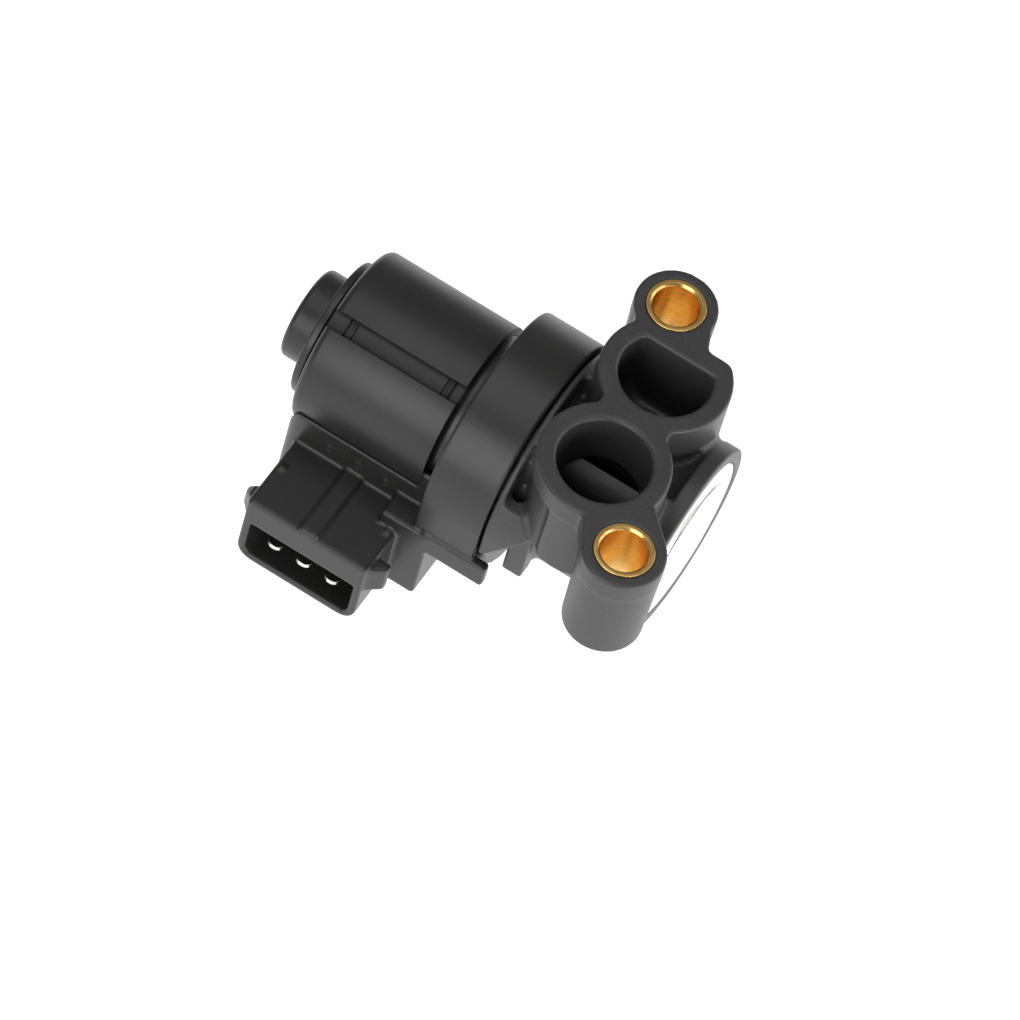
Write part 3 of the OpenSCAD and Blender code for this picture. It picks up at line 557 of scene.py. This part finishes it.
# Brass sleeves
sleeveShape = {"outer": 4.6, "bore": 3.6, "chamfer": 0.35, "edge": 0.12}


def makeSleeve(name, k):
    low, high = boxOf(name)
    centre = ((low.x + high.x) / 2, (low.y + high.y) / 2)
    mouth = k["bore"] + k["chamfer"]
    piece = lathe([
        (k["bore"], low.z + k["chamfer"], 0), (mouth, low.z, 0.05), (k["outer"], low.z, k["edge"]),
        (k["outer"], high.z, k["edge"]), (mouth, high.z, 0.08), (k["bore"], high.z - k["chamfer"], 0.08)],
        upright, centre, segments=160)
    return seat(piece, "brass_" + name, "housing", "brass", name)


for name in ("sleeve_upper", "sleeve_lower"):
    makeSleeve(name, sleeveShape)

# Flat terminals with a rounded tip
terminalShape = {"tipRound": 1.25, "bevel": 0.14, "thick": 0.8, "legLift": 0.2}


def makeTerminal(name, k):
    low, high = boxOf(name)
    tip = rounded([
        (low.x, low.y, k["tipRound"]), (high.x, low.y, k["tipRound"]), (high.x, high.y, 0),
        (low.x, high.y, 0)], 8)
    piece = prism(tip, low.z, low.z + k["thick"])
    leg = block((low.x, high.y - k["thick"], low.z + k["legLift"]), (high.x, high.y, high.z))
    combine(piece, adds=[leg])
    addModifier(piece, "BEVEL", width=k["bevel"], segments=3, limit_method="ANGLE",
                angle_limit=math.radians(40))
    bake(piece)
    return seat(piece, name + "_blade", "housing", "terminal_metal", name)


for side in ("left", "middle", "right"):
    makeTerminal("terminal_" + side, terminalShape)

# Wound copper: a core with the outer layer of turns, which repeat along the rotor axis
windingShape = {"wire": 0.4, "sides": 8, "around": 96, "core": 0.2, "inner": 9.05}


def turnsTree(k):
    tree = bpy.data.node_groups.new("wound_turns", "GeometryNodeTree")
    ports = tree.interface
    ports.new_socket("Geometry", in_out="INPUT", socket_type="NodeSocketGeometry")
    numbers = {"Turns": "Int", "Pitch": "Float", "Coil radius": "Float", "Wire radius": "Float"}
    for name, kind in numbers.items():
        ports.new_socket(name, in_out="INPUT", socket_type="NodeSocket" + kind)
    ports.new_socket("First turn", in_out="INPUT", socket_type="NodeSocketVector")
    ports.new_socket("Finish", in_out="INPUT", socket_type="NodeSocketMaterial")
    ports.new_socket("Geometry", in_out="OUTPUT", socket_type="NodeSocketGeometry")

    def add(kind, **links):
        node = tree.nodes.new(kind)
        for key, value in links.items():
            socket = node.inputs[key.replace("_", " ")]
            if isinstance(value, bpy.types.NodeSocket):
                tree.links.new(value, socket)
            else:
                socket.default_value = value
        return node

    given = add("NodeGroupInput")
    step = add("ShaderNodeCombineXYZ", X=given.outputs["Pitch"])
    line = add("GeometryNodeMeshLine", Count=given.outputs["Turns"],
               Start_Location=given.outputs["First turn"], Offset=step.outputs[0])
    ring = add("GeometryNodeCurvePrimitiveCircle", Resolution=k["around"],
               Radius=given.outputs["Coil radius"])
    section = add("GeometryNodeCurvePrimitiveCircle", Resolution=k["sides"],
                  Radius=given.outputs["Wire radius"])
    wire = add("GeometryNodeCurveToMesh", Curve=ring.outputs[0], Profile_Curve=section.outputs[0])
    turned = add("GeometryNodeTransform", Geometry=wire.outputs[0], Rotation=(0, math.pi / 2, 0))
    copies = add("GeometryNodeInstanceOnPoints", Points=line.outputs[0], Instance=turned.outputs[0])
    both = add("GeometryNodeJoinGeometry")
    tree.links.new(copies.outputs[0], both.inputs[0])
    tree.links.new(given.outputs["Geometry"], both.inputs[0])
    real = add("GeometryNodeRealizeInstances", Geometry=both.outputs[0])
    finish = add("GeometryNodeSetMaterial", Geometry=real.outputs[0], Material=given.outputs["Finish"])
    out = tree.nodes.new("NodeGroupOutput")
    tree.links.new(finish.outputs[0], out.inputs[0])
    return tree


def makeWinding(name, tree, k):
    low, high = boxOf(name)
    outer = (high.y - low.y) / 2
    room = high.x - low.x
    turns = int(room / k["wire"])
    core = outer - k["core"]
    piece = lathe([(k["inner"], low.x, 0), (core, low.x, 0), (core, high.x, 0), (k["inner"], high.x, 0)],
                  alongRotor, segments=k["around"])
    modifier = piece.modifiers.new("turns", "NODES")
    modifier.node_group = tree
    values = {"Turns": turns, "Pitch": room / turns, "Coil radius": outer - k["wire"] / 2,
              "Wire radius": k["wire"] / 2, "First turn": (low.x + room / turns / 2, axisY, axisZ),
              "Finish": materials["copper_wire"]}
    for item in tree.interface.items_tree:
        if item.in_out == "INPUT" and item.name in values:
            modifier[item.identifier] = values[item.name]
    bake(piece)
    return seat(piece, "wound_" + name, "housing", "copper_wire", name)


windingTree = turnsTree(windingShape)
for name in ("winding_close", "winding_open"):
    makeWinding(name, windingTree, windingShape)


# Floor and light
stageSettings = {"floorDrop": 0.09, "floorSize": 6.0, "floorColour": (0.86, 0.86, 0.86), "lift": 0.62}


def addStage(k):
    low, high = (Vector(corner) for corner in cadBounds)
    mesh = bpy.data.meshes.new("floor")
    half = k["floorSize"] / 2
    z = low.z - k["floorDrop"]
    corners = [(-half, -half, z), (half, -half, z), (half, half, z), (-half, half, z)]
    mesh.from_pydata(corners, [], [(0, 1, 2, 3)])
    floor = bpy.data.objects.new("floor", mesh)
    scene.collection.objects.link(floor)
    s = Shader("pale_floor")
    rays = s.tree.nodes.new("ShaderNodeLightPath")
    seen = Wire(s.tree, rays.outputs["Is Camera Ray"])
    seen = seen.atLeast(Wire(s.tree, rays.outputs["Is Glossy Ray"]))
    seen = seen.atLeast(Wire(s.tree, rays.outputs["Is Transmission Ray"]))
    diffuse = s.add("BsdfDiffuse", Color=k["floorColour"])
    glow = s.add("Emission", Color=(1.0, 1.0, 1.0), Strength=k["lift"])
    both = s.add("AddShader", i0=diffuse, i1=glow)
    mesh.materials.append(s.finish(s.add("MixShader", Fac=seen, i1=diffuse, i2=both)))
    floor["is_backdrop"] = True
    return floor


worldSettings = {"lit": 0.27, "seen": 1.0}


def addWorld(k):
    world = bpy.data.worlds.new("studio")
    scene.world = world
    world.use_nodes = True
    tree = world.node_tree
    tree.nodes.clear()
    out = tree.nodes.new("ShaderNodeOutputWorld")
    rays = tree.nodes.new("ShaderNodeLightPath")
    lit = tree.nodes.new("ShaderNodeBackground")
    lit.inputs["Color"].default_value = (1, 1, 1, 1)
    lit.inputs["Strength"].default_value = k["lit"]
    white = tree.nodes.new("ShaderNodeBackground")
    white.inputs["Color"].default_value = (1, 1, 1, 1)
    white.inputs["Strength"].default_value = k["seen"]
    mix = tree.nodes.new("ShaderNodeMixShader")
    tree.links.new(rays.outputs["Is Camera Ray"], mix.inputs[0])
    tree.links.new(lit.outputs[0], mix.inputs[1])
    tree.links.new(white.outputs[0], mix.inputs[2])
    tree.links.new(mix.outputs[0], out.inputs["Surface"])


lampSettings = {
    "front": {"at": (-0.1, -0.9, 0.45), "size": 0.7, "power": 5.0},
    "rightLow": {"at": (0.85, -0.5, 0.0), "size": 0.7, "power": 7.0},
    "right": {"at": (0.95, 0.1, 0.2), "size": 0.5, "power": 1.5},
    "backRight": {"at": (0.7, 0.7, 0.3), "size": 0.7, "power": 2.8},
    "over": {"at": (-0.1, 0.0, 1.0), "size": 0.8, "power": 2.4},
}


def addLamps(settings):
    centre = (Vector(cadBounds[0]) + Vector(cadBounds[1])) / 2
    for name, k in settings.items():
        light = bpy.data.lights.new(name, "AREA")
        light.size = k["size"]
        light.energy = k["power"]
        lamp = bpy.data.objects.new(name, light)
        lamp.location = centre + Vector(k["at"])
        lamp.rotation_euler = (centre - lamp.location).to_track_quat("-Z", "Y").to_euler()
        scene.collection.objects.link(lamp)


addStage(stageSettings)
addWorld(worldSettings)
addLamps(lampSettings)
scene.view_settings.view_transform = "Standard"
print("stage and lamps placed")

sizes = {"cad": cadBounds, "visual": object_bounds()}
{key: [list(corner) for corner in value] for key, value in sizes.items()}
